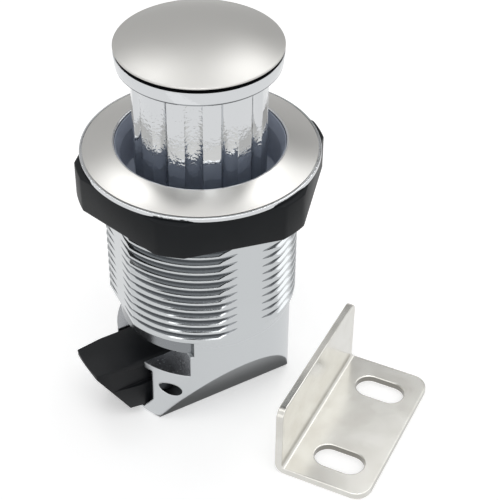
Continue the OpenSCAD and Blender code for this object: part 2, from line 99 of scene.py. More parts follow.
rough = addNode(tree, "ShaderNodeMapRange",
                {**upTheBlock, "To Min": dieCast["blockRough"], "To Max": dieCast["threadRough"]},
                [(place, "Z", "Value")])
speck = addNode(tree, "ShaderNodeMapRange", {"To Min": -dieCast["smoother"], "To Max": dieCast["rougher"]},
                [(grain, "Fac", "Value")])
uneven = addNode(tree, "ShaderNodeMath", links=[(rough, "Result", 0), (speck, "Result", 1)])
edgeWidth = addNode(tree, "ShaderNodeMapRange",
                    {**upTheBlock, "To Min": dieCast["blockEdge"] * mm, "To Max": dieCast["threadEdge"] * mm},
                    [(place, "Z", "Value")])
softEdge = addNode(tree, "ShaderNodeBevel", links=[(edgeWidth, "Result", "Radius")], samples=6)
coarse = addNode(tree, "ShaderNodeBump",
                 {"Strength": dieCast["rippleBump"], "Distance": dieCast["rippleDeep"] * mm},
                 [(ripple, "Fac", "Height"), (softEdge, "Normal", "Normal")])
fine = addNode(tree, "ShaderNodeBump",
               {"Strength": dieCast["grainBump"], "Distance": dieCast["grainDeep"] * mm},
               [(grain, "Fac", "Height"), (coarse, "Normal", "Normal")])
finishMaterial(tree, {"Base Color": linear(dieCast["colour"]), "Metallic": 1.0},
               [(uneven, "Value", "Roughness"), (fine, "Normal", "Normal")])

# polished chrome on the cast stem and rims: a near mirror with a slight waviness from buffing, and patches
# of orange peel from the plating that break up what it mirrors
polish = {
    "colour": "#D2D4D6", "roughness": 0.055, "smoother": 0.02, "rougher": 0.03,
    "wave": 1.8, "waveBump": 0.5, "waveDeep": 0.06, "peel": 0.42, "peelBump": 0.7, "peelDeep": 0.08,
    "patch": 4.5, "patchFrom": 0.4, "patchTo": 0.56,
}
polishedChrome, tree = startMaterial("polished chrome plate")
where = [(addNode(tree, "ShaderNodeTexCoord"), "Object", "Vector")]
wave, peel, patch = [
    addNode(tree, "ShaderNodeTexNoise", {"Scale": perMm(polish[size]), "Detail": detail}, where)
    for size, detail in (("wave", 2.0), ("peel", 1.0), ("patch", 1.0))]
rough = addNode(tree, "ShaderNodeMapRange",
                {"To Min": polish["roughness"] - polish["smoother"],
                 "To Max": polish["roughness"] + polish["rougher"]}, [(wave, "Fac", "Value")])
inPatch = addNode(tree, "ShaderNodeMapRange",
                  {"From Min": polish["patchFrom"], "From Max": polish["patchTo"]}, [(patch, "Fac", "Value")])
patchy = addNode(tree, "ShaderNodeMath", links=[(peel, "Fac", 0), (inPatch, "Result", 1)],
                 operation="MULTIPLY")
buffed = addNode(tree, "ShaderNodeBump",
                 {"Strength": polish["waveBump"], "Distance": polish["waveDeep"] * mm},
                 [(wave, "Fac", "Height")])
peeled = addNode(tree, "ShaderNodeBump",
                 {"Strength": polish["peelBump"], "Distance": polish["peelDeep"] * mm},
                 [(patchy, "Value", "Height"), (buffed, "Normal", "Normal")])
finishMaterial(tree, {"Base Color": linear(polish["colour"]), "Metallic": 1.0},
               [(rough, "Result", "Roughness"), (peeled, "Normal", "Normal")])


# metals with a pattern that makes the sheen uneven and, where bump is given, one that roughens the skin
def unevenMetal(name, colour, smoothest, roughest, cloudSize, detail=3.0, bump=0, bumpSize=0.4, deep=0.02):
    material, tree = startMaterial(name)
    where = [(addNode(tree, "ShaderNodeTexCoord"), "Object", "Vector")]
    cloud = addNode(tree, "ShaderNodeTexNoise", {"Scale": perMm(cloudSize), "Detail": detail}, where)
    rough = addNode(tree, "ShaderNodeMapRange", {"To Min": smoothest, "To Max": roughest},
                    [(cloud, "Fac", "Value")])
    links = [(rough, "Result", "Roughness")]
    if bump:
        grain = addNode(tree, "ShaderNodeTexNoise", {"Scale": perMm(bumpSize), "Detail": detail}, where)
        skin = addNode(tree, "ShaderNodeBump", {"Strength": bump, "Distance": deep * mm},
                       [(grain, "Fac", "Height")])
        links.append((skin, "Normal", "Normal"))
    finishMaterial(tree, {"Base Color": linear(colour), "Metallic": 1.0}, links)
    return material


# satin chrome, bead-blasted before plating: a soft pearly sheen with no lines; the blast grain is drawn
# at 0.25 mm, coarser than real, so that it still shows
satin = {"cloudSize": 5.0, "detail": 2.0, "bump": 0.06, "bumpSize": 0.25, "deep": 0.01}
satinRosette = unevenMetal("satin chrome plate", "#CFCECB", 0.26, 0.32, **satin)
satinCap = unevenMetal("fine satin chrome plate", "#C7C6C3", 0.35, 0.41, **satin)

# nickel-plated steel sheet: warm pale grey, cloudy from barrel plating, with faint rolling marks
nickel = {
    "pale": "#DAD9D4", "deep": "#D0CEC8", "paleFrom": 0.65, "deepTo": 0.35, "roughness": 0.22,
    "smoother": 0.05, "rougher": 0.06, "cloud": 4.0, "roll": 0.3, "rollTurn": -33, "rollStretch": 0.06,
    "rollBump": 0.04, "rollDeep": 0.01,
}
nickelSteel, tree = startMaterial("nickel-plated steel")
where = [(addNode(tree, "ShaderNodeTexCoord"), "Object", "Vector")]
cloud = addNode(tree, "ShaderNodeTexNoise", {"Scale": perMm(nickel["cloud"]), "Detail": 3.0}, where)
tint = addNode(tree, "ShaderNodeValToRGB", links=[(cloud, "Fac", "Fac")])
for stop, position, shade in zip(tint.color_ramp.elements, ("deepTo", "paleFrom"), ("deep", "pale")):
    stop.position = nickel[position]
    stop.color = linear(nickel[shade])
stretch = addNode(tree, "ShaderNodeMapping",
                  {"Rotation": (0, 0, math.radians(nickel["rollTurn"])),
                   "Scale": (nickel["rollStretch"], 1, 1)}, where)
roll = addNode(tree, "ShaderNodeTexNoise", {"Scale": perMm(nickel["roll"]), "Detail": 2.0},
               [(stretch, "Vector", "Vector")])
rough = addNode(tree, "ShaderNodeMapRange",
                {"To Min": nickel["roughness"] - nickel["smoother"],
                 "To Max": nickel["roughness"] + nickel["rougher"]}, [(cloud, "Fac", "Value")])
rolled = addNode(tree, "ShaderNodeBump",
                 {"Strength": nickel["rollBump"], "Distance": nickel["rollDeep"] * mm},
                 [(roll, "Fac", "Height")])
finishMaterial(tree, {"Metallic": 1.0},
               [(tint, "Color", "Base Color"), (rough, "Result", "Roughness"), (rolled, "Normal", "Normal")])


# moulded plastics: the mould's fine spark texture breaks up the sheen, and the colour is faintly cloudy
def mouldedPlastic(name, colour, paler, roughness, ior, texture, sheen=0.5, spread=0.05, cloudiness=12):
    material, tree = startMaterial(name)
    where = [(addNode(tree, "ShaderNodeTexCoord"), "Object", "Vector")]
    spark, cloud = [addNode(tree, "ShaderNodeTexNoise", {"Scale": perMm(size), "Detail": detail}, where)
                    for size, detail in ((texture, 3.0), (texture * cloudiness, 2.0))]
    tint = addNode(tree, "ShaderNodeValToRGB", links=[(cloud, "Fac", "Fac")])
    for stop, position, shade in zip(tint.color_ramp.elements, (0.3, 0.7), (colour, paler)):
        stop.position = position
        stop.color = linear(shade)
    rough = addNode(tree, "ShaderNodeMapRange", {"To Min": roughness - spread, "To Max": roughness + spread},
                    [(spark, "Fac", "Value")])
    sparked = addNode(tree, "ShaderNodeBump", {"Strength": 0.15, "Distance": 0.02 * mm},
                      [(spark, "Fac", "Height")])
    finishMaterial(tree, {"IOR": ior, "Specular IOR Level": sheen},
                   [(tint, "Color", "Base Color"), (rough, "Result", "Roughness"),
                    (sparked, "Normal", "Normal")])
    return material


# black glass-filled nylon of the nut: dull, slightly bluish black
blackNylon = mouldedPlastic("black glass-filled nylon", "#121518", "#15181B", 0.45, 1.53, 0.3, 0.14)
# black acetal of the bolt and plunger: smoother, with a waxy sheen
blackAcetal = mouldedPlastic("black acetal", "#131518", "#17191C", 0.38, 1.48, 0.35, 0.2)
# slate grey ABS of the cup round the stem
slateAbs = mouldedPlastic("slate grey ABS", "#9AA2B2", "#A2AABA", 0.36, 1.54, 0.3)
# natural acetal of the ratchet: milky white and waxy
whiteAcetal = mouldedPlastic("natural acetal", "#DAD8CF", "#E2E0D8", 0.38, 1.48, 0.35)

# drawn spring steel wire: dark, with a sheen that drawing left uneven
springWire = unevenMetal("drawn spring steel", "#8C8C8E", 0.2, 0.34, 0.4, detail=2.0)
# painted shade: near-black, dull zinc in the small holes, on the pin in the cross hole and in the gap under
# the cap, for the shade there
paintedShadeZinc = unevenMetal("near-black zinc, painted shade", "#3A3C3F", 0.45, 0.6, 0.6)
# zinc-plated steel of screw, clip, washer and spring pin: bluish grey, slightly cloudy
zincSteel = unevenMetal("zinc-plated steel", "#C4C7CB", 0.22, 0.36, 1.2)
# thin plating in recesses and on cut edges, which the bath hardly reaches: duller than the rest, and where
# greyer, the grey is painted shade
thinSkin = {"smoothest": 0.18, "roughest": 0.32, "cloudSize": 0.4, "bump": 0.3}
# painted shade: dark grey for the shade in the thread roots, on the band over the bolt and under the stem's
# rim
paintedShadePlate = unevenMetal("grey plated zinc, painted shade", "#898C8F", **thinSkin)  # thread roots, band over the bolt
notchPlate = unevenMetal("dull plated zinc", "#C2C4C7", **thinSkin)  # notch beside the bolt
# painted shade: the slot walls are much darker than the sheet, for the shade in the slots; the duller sheen
# is the sheared edge's own
shearedEdgeAndShade = unevenMetal("sheared steel with painted shade", "#87857F", **thinSkin)  # punched slots of the strike
# painted shade: the long outer edge is greyer than the sheet, for its shaded side; the duller sheen is the
# cut edge's own
cutEdgeAndShade = unevenMetal("cut steel with painted shade", "#BDBCB6", **thinSkin)  # long outer edge of the strike
print("materials ready:", len(bpy.data.materials))


# shape helpers; shapes are drawn in millimetres and scaled when they become pieces

def onCircle(radius, angle):
    return radius * math.cos(angle), radius * math.sin(angle)


def boxShape(low, high):
    shape = bmesh.new()
    bmesh.ops.create_cube(shape, size=1)
    for vert in shape.verts:
        vert.co = Vector([low[axis] if vert.co[axis] < 0 else high[axis] for axis in range(3)])
    return shape


def prismShape(outline, start, end, axis):
    # outline in the two other axes, in X Y Z order, drawn out along axis
    shape = bmesh.new()
    first, second = [other for other in range(3) if other != axis]
    rings = []
    for level in (start, end):
        ring = []
        for point in outline:
            place = [0, 0, 0]
            place[axis], place[first], place[second] = level, point[0], point[1]
            ring.append(shape.verts.new(place))
        rings.append(ring)
    shape.faces.new(rings[0])
    shape.faces.new(rings[1])
    for corner in range(len(outline)):
        following = (corner + 1) % len(outline)
        shape.faces.new((rings[0][corner], rings[0][following], rings[1][following], rings[1][corner]))
    bmesh.ops.recalc_face_normals(shape, faces=shape.faces)
    return shape


def roundBar(radius, start, end, axis, at, steps=64):
    # a round cutter along an axis, at a place in the two other axes
    angles = [2 * math.pi * step / steps for step in range(steps)]
    outline = [(at[0] + radius * math.cos(angle), at[1] + radius * math.sin(angle)) for angle in angles]
    return prismShape(outline, start, end, axis)


def skinRings(shape, rings, closed=True):
    # faces between rings of points; a ring that is one point on the axis gets triangles
    pairs = list(zip(rings, rings[1:]))
    if closed:
        pairs.append((rings[-1], rings[0]))
    for ring, nextRing in pairs:
        for step in range(len(ring)):
            following = (step + 1) % len(ring)
            corners = []
            for vert in (ring[step], ring[following], nextRing[following], nextRing[step]):
                if vert not in corners:
                    corners.append(vert)
            if len(corners) > 2:
                shape.faces.new(corners)
    bmesh.ops.recalc_face_normals(shape, faces=shape.faces)
    return shape


def turnedShape(profile, steps=192, closed=True):
    # profile of (radius, height) points turned about Z; points on the axis close the ends
    shape = bmesh.new()
    angles = [2 * math.pi * step / steps for step in range(steps)]
    rings = []
    for radius, height in profile:
        if radius < 1e-6:
            rings.append([shape.verts.new((0, 0, height))] * steps)
        else:
            rings.append([shape.verts.new((*onCircle(radius, angle), height)) for angle in angles])
    return skinRings(shape, rings, closed)


def rounded(points, radii, bits=5):
    # a closed outline whose corners are rounded, each by its own radius
    result = []
    for corner, radius in enumerate(radii):
        here = Vector(points[corner])
        back = Vector(points[corner - 1]) - here
        onward = Vector(points[(corner + 1) % len(points)]) - here
        if radius <= 0:
            result.append(tuple(here))
            continue
        half = back.angle(onward) / 2
        reach = radius / math.tan(half)
        centre = here + (back.normalized() + onward.normalized()).normalized() * (radius / math.sin(half))
        first = here + back.normalized() * reach - centre
        last = here + onward.normalized() * reach - centre
        turn = first.angle_signed(last)
        for bit in range(bits + 1):
            angle = -turn * bit / bits
            result.append((centre.x + first.x * math.cos(angle) - first.y * math.sin(angle),
                           centre.y + first.x * math.sin(angle) + first.y * math.cos(angle)))
    return result


def addPath(curve, points, closed=False):
    path = curve.splines.new("POLY")
    path.points.add(len(points) - 1)
    for point, place in zip(path.points, points):
        point.co = (*place, 1)
    path.use_cyclic_u = closed


def newObject(name, data):
    item = bpy.data.objects.new(name, data)
    bpy.context.scene.collection.objects.link(item)
    return item


def curveMesh(curve):
    # the mesh that a curve's own fill and bevel give
    holder = newObject("holder", curve)
    graph = bpy.context.evaluated_depsgraph_get()
    mesh = bpy.data.meshes.new_from_object(holder.evaluated_get(graph))
    bpy.data.objects.remove(holder)
    return mesh


def looseObject(shape, name):
    mesh = bpy.data.meshes.new(name)
    shape.to_mesh(mesh)
    shape.free()
    return newObject(name, mesh)


def applied(piece):
    # the piece's mesh with its modifiers worked in
    graph = bpy.context.evaluated_depsgraph_get()
    old = piece.data
    piece.data = bpy.data.meshes.new_from_object(piece.evaluated_get(graph))
    piece.modifiers.clear()
    bpy.data.meshes.remove(old)


def combine(piece, shape, operation="DIFFERENCE"):
    tool = looseObject(shape, "tool")
    step = piece.modifiers.new("cut", "BOOLEAN")
    step.operation, step.object, step.solver = operation, tool, "EXACT"
    applied(piece)
    bpy.data.objects.remove(tool)


def softenEdges(piece, width, angle=30, segments=3):
    step = piece.modifiers.new("edges", "BEVEL")
    step.width, step.segments = width, segments
    step.limit_method, step.angle_limit = "ANGLE", math.radians(angle)
    applied(piece)


def finishPiece(piece, name, body, materials, replaced, smoothAngle=32):
    # from millimetres to the frame's metres, with its finish and the CAD nodes that it stands for
    piece.name = name
    piece.data.name = name
    piece.data.transform(Matrix.Scale(mm, 4))
    for face in piece.data.polygons:
        face.use_smooth = True
    piece.data.set_sharp_from_angle(angle=math.radians(smoothAngle))
    for material in materials:
        piece.data.materials.append(material)
    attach(piece, body)
    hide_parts(*replaced)
    print("piece:", name, len(piece.data.polygons), "faces")


near = 0.02  # how close a face has to be to a wall to count as part of it
out = 20  # cutters reach this far, past everything they cut


# housing: barrel with a right-hand thread, four flats, and the block with the bolt's way

barrel = {
    "threadR": 13.5, "pitch": 1.34, "turns": 16, "depth": 0.8, "flankAngle": 30, "rootFlat": 0.18,
    "rootShade": 0.36, "ease": 0.09, "crestDrop": 0.03, "rootRise": 0.04, "threadEnd": -23.6, "neck": 1.7,
    "helixTop": -0.05, "helixIn": 0.9, "helixLow": 2.5, "helixOut": 2.4,
    "seamLift": 6, "seamPlain": 2, "seamFade": 4,
    "flatTop": -1.73, "flatDepth": 0.95, "flatTurn": 1.9, "runOut": -27.0,
    "sideFlatDepth": 0.86, "sideFlatTurn": -6.0, "sideRunOut": -25.0,
    "flangeR": 14.9, "flangeT": 0.5, "boreR": 11.45, "boreFloor": -25.25, "rimSeatR": 12.32, "rimSeat": 0.4,
    "blockR": 12.8, "bottom": -40.77, "bottomRound": 0.5, "roundBits": 6,
    "notchRoof": -26.9, "boltTop": -30.65, "notchX": 7.8,
    "bandR": 12.05, "bandX": 7.35, "bandLap": 0.05, "bandGap": 0.02,
    "wayHalf": 4.12, "wayLow": -39.37, "wayTop": -30.53, "wayEnd": 10.4,
    "mouthX": -10.9, "mouthHalf": 5.4, "mouthLowHalf": 3.7, "mouthTop": -31.65, "mouthLow": -39.95,
    "mouthSlant": 2.7, "bottomHalf": 6.2, "slopeTop": -29.67, "slopeOut": 16, "plungerHoleR": 2.68,
    "crossR": 1.12, "crossX": -9.9, "crossZ": -33.95, "pinHoleR": 1.22, "pinHoleX": 11.52, "pinHoleZ": -34.95,
    "around": 288, "weld": 0.001,
}
threadLow = -barrel["neck"] - barrel["turns"] * barrel["pitch"]


def threadRows():
    # rows of (height, radius) down the outside; crests and roots are slightly rounded
    crestR, blockR, bottomRound = barrel["threadR"], barrel["blockR"], barrel["bottomRound"]
    rootR = crestR - barrel["depth"]
    flank = barrel["depth"] * math.tan(math.radians(barrel["flankAngle"]))
    slope = barrel["depth"] / flank
    ease = barrel["ease"]
    rows = [(barrel["flangeT"], barrel["flangeR"]), (0.0, barrel["flangeR"]), (0.0, crestR), (-0.3, crestR)]
    for turn in range(barrel["turns"]):
        start = -barrel["neck"] - turn * barrel["pitch"]
        foot = start - flank
        heel = foot - barrel["rootFlat"]
        end = heel - flank
        rows += [
            (start + ease, crestR),
            (start - ease * 0.3, crestR - barrel["crestDrop"]),
            (start - ease, crestR - ease * slope),
            (foot + ease * 0.6, rootR + ease * 0.6 * slope),
            (foot, rootR + barrel["rootRise"]),
            ((foot + heel) / 2, rootR),
            (heel, rootR + barrel["rootRise"]),
            (heel - ease * 0.6, rootR + ease * 0.6 * slope),
            # the row where the painted shade of the root ends
            (heel - barrel["rootShade"] / slope, rootR + barrel["rootShade"]),
            (end + ease, crestR - ease * slope),
            (end + ease * 0.3, crestR - barrel["crestDrop"]),
            (end - ease, crestR),
        ]
    rows += [(threadLow - 0.35, crestR), (barrel["threadEnd"], blockR)]
    rows += [(barrel["threadEnd"] - drop, blockR) for drop in (0.6, 1.2, 1.8, 2.6)]
    rows += [(barrel["bottom"] + bottomRound * 2, blockR)]
    for bit in range(barrel["roundBits"] + 1):
        angle = math.radians(90 * bit / barrel["roundBits"])
        rows.append((barrel["bottom"] + bottomRound * (1 - math.sin(angle)),
                     blockR - bottomRound * (1 - math.cos(angle))))
    return rows


def barrelShape():
    # the rows turned about Z, and those of the thread sheared into a helix
    shape = bmesh.new()
    crestR, around = barrel["threadR"], barrel["around"]
    rings = []
    for height, rowR in threadRows():
        # share of the helix at this height: none at the flange and on the block
        share = min(1, max(0, (barrel["helixTop"] - height) / barrel["helixIn"]))
        share *= min(1, max(0, (height - barrel["threadEnd"] + barrel["helixLow"]) / barrel["helixOut"]))
        inThread = threadLow - 0.2 < height < -barrel["neck"] + 0.2
        ring = []
        for step in range(around):
            turned = step / around
            # the turn starts and ends in the middle of the flat on the +Y side, where the grooves run out
            seam = min(turned, 1 - turned) * 360
            lift = (turned - 0.5) * min(1, seam / barrel["seamLift"])
            grooved = min(1, max(0, (seam - barrel["seamPlain"]) / barrel["seamFade"]))
            radius = crestR + (rowR - crestR) * grooved if inThread else rowR
            angle = math.radians(90 + 360 * turned)
            helix = barrel["pitch"] * lift * share
            ring.append(shape.verts.new((*onCircle(radius, angle), height + helix)))
        rings.append(ring)
    for above, below in zip(rings, rings[1:]):
        for step in range(around):
            following = (step + 1) % around
            shape.faces.new((above[following], above[step], below[step], below[following]))
    shape.faces.new(rings[0])
    shape.faces.new(list(reversed(rings[-1])))
    bmesh.ops.recalc_face_normals(shape, faces=shape.faces)
    return shape


housing = looseObject(barrelShape(), "housing")
flats = ((barrel["flatDepth"], barrel["runOut"], 0, barrel["flatTurn"]),
         (barrel["sideFlatDepth"], barrel["sideRunOut"], 1, barrel["sideFlatTurn"]))
for side in (-1, 1):
    for depth, runOut, axis, turn in flats:
        flatAt = barrel["threadR"] - depth
        outline = [(side * flatAt, barrel["flatTop"]), (side * out, barrel["flatTop"]), (side * out, runOut),
                   (side * barrel["blockR"], runOut), (side * flatAt, barrel["threadEnd"])]
        cutter = prismShape(outline, -out, out, axis)
        bmesh.ops.rotate(cutter, cent=(0, 0, 0), matrix=Matrix.Rotation(math.radians(turn), 3, "Z"),
                         verts=cutter.verts)
        combine(housing, cutter)

# recessed band over the bolt, on the bolt's side only
bandLow = barrel["notchRoof"] - barrel["bandLap"]
bandTop = barrel["threadEnd"] - barrel["bandGap"]
bandProfile = [(barrel["bandR"], bandLow), (out, bandLow), (out, bandTop), (barrel["bandR"], bandTop)]
band = looseObject(turnedShape(bandProfile), "band")
combine(band, boxShape((-2 * out, -2 * out, -2 * out), (-barrel["bandX"], 2 * out, 0)), "INTERSECT")
bandShape = bmesh.new()
bandShape.from_mesh(band.data)
bpy.data.objects.remove(band)
combine(housing, bandShape)

# bore, cup seat, plunger hole, bolt's way, notch and mouth
combine(housing, roundBar(barrel["boreR"], barrel["boreFloor"], 5, 2, (0, 0), 192))
combine(housing, roundBar(barrel["rimSeatR"], -barrel["rimSeat"], 6, 2, (0, 0), 192))
combine(housing, roundBar(barrel["plungerHoleR"], barrel["boltTop"] - 1, barrel["boreFloor"] + 1, 2, (0, 0)))
combine(housing, boxShape((-out, -barrel["wayHalf"], barrel["wayLow"]),
                          (barrel["wayEnd"], barrel["wayHalf"], barrel["wayTop"])))
combine(housing, boxShape((-out, -out, barrel["boltTop"]), (-barrel["notchX"], out, barrel["notchRoof"])))
mouthSide = [(barrel["mouthHalf"], barrel["mouthTop"]),
             (barrel["mouthHalf"], barrel["mouthLow"] + barrel["mouthSlant"]),
             (barrel["mouthLowHalf"], barrel["mouthLow"])]
mouth = [(-across, height) for across, height in mouthSide] + mouthSide[::-1]
combine(housing, prismShape(mouth, -out, barrel["mouthX"], 0))

# slopes under the block, which cut its round sides in a curve, and the two small holes
underBlock = barrel["bottom"] - 2
for side in (-1, 1):
    cutAway = [(side * barrel["blockR"], barrel["slopeTop"]), (side * barrel["bottomHalf"], barrel["bottom"]),
               (side * barrel["bottomHalf"], underBlock), (side * barrel["slopeOut"], underBlock),
               (side * barrel["slopeOut"], barrel["slopeTop"])]
    combine(housing, prismShape(cutAway, -out, out, 0))
combine(housing, roundBar(barrel["pinHoleR"], barrel["wayEnd"] - 0.5, barrel["pinHoleX"], 0,
                          (0, barrel["pinHoleZ"])))
combine(housing, roundBar(barrel["crossR"], -out, 0, 1, (barrel["crossX"], barrel["crossZ"])))

# slivers that the cuts leave are closed up
welded = bmesh.new()
welded.from_mesh(housing.data)
bmesh.ops.remove_doubles(welded, verts=welded.verts, dist=barrel["weld"])
bmesh.ops.dissolve_degenerate(welded, edges=welded.edges, dist=barrel["weld"])
openEdges = [line for line in welded.edges if line.is_boundary]
print("open edges filled:", len(openEdges))
bmesh.ops.holes_fill(welded, edges=openEdges, sides=4)
welded.to_mesh(housing.data)
welded.free()

for face in housing.data.polygons:
    x, y, z = face.center
    across = math.hypot(x, y)
    toCross = math.hypot(x - barrel["crossX"], z - barrel["crossZ"])
    # painted shade: the cross hole's wall is near black, for the shade inside it
    inCross = y < 0 and abs(face.normal.y) < 0.2 and toCross < barrel["crossR"] + near
    # painted shade: the band over the bolt and the thread roots take the dark grey, for the shade in them
    atBand = x < -barrel["bandX"] + near and barrel["notchRoof"] - 0.1 < z < barrel["threadEnd"]
    onBand = abs(across - barrel["bandR"]) < near or x > -barrel["bandX"] - near
    inBand = atBand and onBand and y < 3
    atNotch = x < -barrel["notchX"] + near and barrel["boltTop"] - near < z < barrel["notchRoof"] + near
    inNotch = atNotch and (abs(face.normal.z) > 0.9 or x > -barrel["notchX"] - near)
    inThread = barrel["threadEnd"] < z < -0.5 and across > barrel["boreR"] + 0.1
    isDeep = across < barrel["threadR"] - barrel["depth"] + barrel["rootShade"]
    inRoot = inThread and (face.normal.z < -0.3 or (face.normal.z > 0.3 and isDeep))
    face.material_index = 1 if inCross else 3 if inNotch else 2 if inBand or inRoot else 0
finishPiece(housing, "barrel_casting", "lock",
            [chromedZinc, paintedShadeZinc, paintedShadePlate, notchPlate], ["housing"], 15)


# rosette: satin cone with a rolled inner lip, a fine groove and a polished rim

rosette = {
    "holeR": 11.65, "rise": 1.8, "lip": 0.3, "lipDrop": 0.05, "polishedLip": 0.2, "rimR": 16.4, "rimH": 0.6,
    "rimWide": 0.42, "rimDrop": 0.02, "coneLift": 0.06, "groove": 0.2, "grooveTop": 0.16, "grooveFloor": 0.14,
    "seatR": 14.92, "seatZ": 0.5, "rounds": [0.05, 0, 0, 0.1, 0.12, 0.03, 0, 0, 0.03, 0.2, 0.15],
}
holeR, rimR, rimH = rosette["holeR"], rosette["rimR"], rosette["rimH"]
coneEnd = rimR - rosette["rimWide"]
grooveLow = rimH - rosette["groove"]
outline = rounded(
    [(holeR, rosette["seatZ"]), (rosette["seatR"], rosette["seatZ"]), (rosette["seatR"], 0), (rimR, 0),
     (rimR, rimH - rosette["rimDrop"]), (coneEnd + rosette["grooveTop"], rimH),
     (coneEnd + rosette["grooveFloor"], grooveLow), (coneEnd, grooveLow),
     (coneEnd, rimH + rosette["coneLift"]), (holeR + rosette["lip"], rosette["rise"]),
     (holeR, rosette["rise"] - rosette["lipDrop"])],
    rosette["rounds"], 4)
trimRing = looseObject(turnedShape(outline, 288), "rosette")
for face in trimRing.data.polygons:
    across = math.hypot(face.center.x, face.center.y)
    isPolished = across > coneEnd + near or across < holeR + rosette["polishedLip"]
    face.material_index = 1 if isPolished else 0
finishPiece(trimRing, "rosette_ring", "lock", [satinRosette, polishedChrome], ["rosette"])


# guide cup: thin slate wall and floor round the stem

cup = {
    "outR": 11.43, "inR": 10.93, "rimR": 12.3, "rimTop": 0.5, "rimLow": -0.4, "floor": -5.3, "low": -6.8,
    "stemR": 9.18, "lipTop": 1.5, "lipR": 11.6, "lipInR": 11.5, "lipFoot": -0.3,
    "rounds": [0.5, 0.04, 0.04, 0, 0.1, 0.1, 0, 0.1, 0.1, 0.15, 0.3],
}
corners = [("inR", "lipFoot"), ("lipInR", "lipTop"), ("lipR", "lipTop"), ("lipR", "rimTop"),
           ("rimR", "rimTop"), ("rimR", "rimLow"), ("outR", "rimLow"), ("outR", "low"),
           ("stemR", "low"), ("stemR", "floor"), ("inR", "floor")]
outline = rounded([(cup[radius], cup[height]) for radius, height in corners], cup["rounds"], 4)
cupPiece = looseObject(turnedShape(outline, 240), "cup")
finishPiece(cupPiece, "stem_cup", "lock", [slateAbs], ["guide_cup"])


# button stem: hollow bar with rounded flutes, a clip groove and a flared rim

stem = {
    "outR": 9.1, "flutes": 12, "fluteR": 1.7, "fluteDepth": 0.58, "fluteTurn": 25.5, "fluteEase": 0.05,
    "low": -8.75, "edge": 0.12, "footIn": 0.5, "boreR": 6.6, "roof": 12.7, "holeR": 1.52,
    "grooveR": 8.5, "grooveTop": -7.0, "grooveLow": -7.95, "grooveEdge": 0.001,
    "rimLow": 13.8, "rimTop": 15.93, "rimLowR": 11.0, "rimTopR": 11.15,
    "jointTop": 16.35, "jointR": 10.0, "bossR": 3.52, "bossLow": 14.2, "around": 480,
    # how the bar runs into the rim: wider, higher and how much of the flutes is left
    "neckRound": [(0, -0.25, 1), (0.02, -0.1, 1), (0.12, -0.02, 0.8), (0.4, 0, 0)],
    # the rim's edges: narrower and higher, then narrower and lower
    "rimLowRound": [(0.35, 0), (0.17, 0.05), (0.05, 0.17), (0, 0.35)],
    "rimTopRound": [(0.02, 0.22), (0.05, 0.06), (0.2, 0)],
}


def fluteCut(degrees):
    # how far the flutes take the bar's surface in at this angle, with the edges eased
    fluteR, ease = stem["fluteR"], stem["fluteEase"]
    step = 360 / stem["flutes"]
    off = (degrees - stem["fluteTurn"] + step / 2) % step - step / 2
    centre = stem["outR"] + fluteR - stem["fluteDepth"]
    aside = centre * math.sin(math.radians(off))
    if abs(aside) >= fluteR:
        return 0
    depth = stem["outR"] - (centre * math.cos(math.radians(off)) - math.sqrt(fluteR ** 2 - aside ** 2))
    if depth < -ease:
        return 0
    return depth if depth > ease else (depth + ease) ** 2 / (4 * ease)


# rows of (radius, height, share of the flutes) from the bore's foot round the outside and back
outR, boreR, low, edge = stem["outR"], stem["boreR"], stem["low"], stem["edge"]
rimLow, rimTop = stem["rimLow"], stem["rimTop"]
rows = [(boreR, low + edge, 0), (boreR + edge, low, 0), (outR - stem["footIn"] - edge, low, 0),
        (outR - edge, low + edge * 0.4, 1), (outR, low + edge * 1.4, 1),
        (outR, stem["grooveLow"] - stem["grooveEdge"], 1), (stem["grooveR"], stem["grooveLow"], 0),
        (stem["grooveR"], stem["grooveTop"], 0), (outR, stem["grooveTop"] + stem["grooveEdge"], 1)]
rows += [(outR + wider, rimLow + higher, fluted) for wider, higher, fluted in stem["neckRound"]]
rows += [(stem["rimLowR"] - narrower, rimLow + higher, 0) for narrower, higher in stem["rimLowRound"]]
rows += [(stem["rimTopR"] - narrower, rimTop - lower, 0) for narrower, lower in stem["rimTopRound"]]
inside = [("jointR", "rimTop"), ("jointR", "jointTop"), ("bossR", "jointTop"), ("bossR", "bossLow"),
          ("holeR", "bossLow"), ("holeR", "roof"), ("boreR", "roof")]
rows += [(stem[radius], stem[height], 0) for radius, height in inside]
shape = bmesh.new()
rings = []
for radius, height, fluted in rows:
    ring = []
    for step in range(stem["around"]):
        degrees = 360 * step / stem["around"]
        here = radius - fluted * fluteCut(degrees)
        ring.append(shape.verts.new((*onCircle(here, math.radians(degrees)), height)))
    rings.append(ring)
stemPiece = looseObject(skinRings(shape, rings), "stem")
for face in stemPiece.data.polygons:
    across, z = math.hypot(face.center.x, face.center.y), face.center.z
    pastBar = across > outR + 0.3
    # painted shade: the joint under the cap is near black, for the shade in the gap
    inJoint = z > rimTop - 0.01 and across < stem["jointR"] + 0.6
    underRim = abs(z - rimLow) < 0.01 and pastBar
    # painted shade: the rim's lower edge takes the dark grey, for the shade line under the rim
    onRimEdge = rimLow + 0.01 < z < rimLow + 0.3 and pastBar
    face.material_index = 1 if inJoint else 2 if underRim else 3 if onRimEdge else 0
finishPiece(stemPiece, "fluted_stem", "button",
            [polishedChrome, paintedShadeZinc, satinCap, paintedShadePlate], ["button_stem"], 35)


# button cap: shallow satin dome with a rounded edge

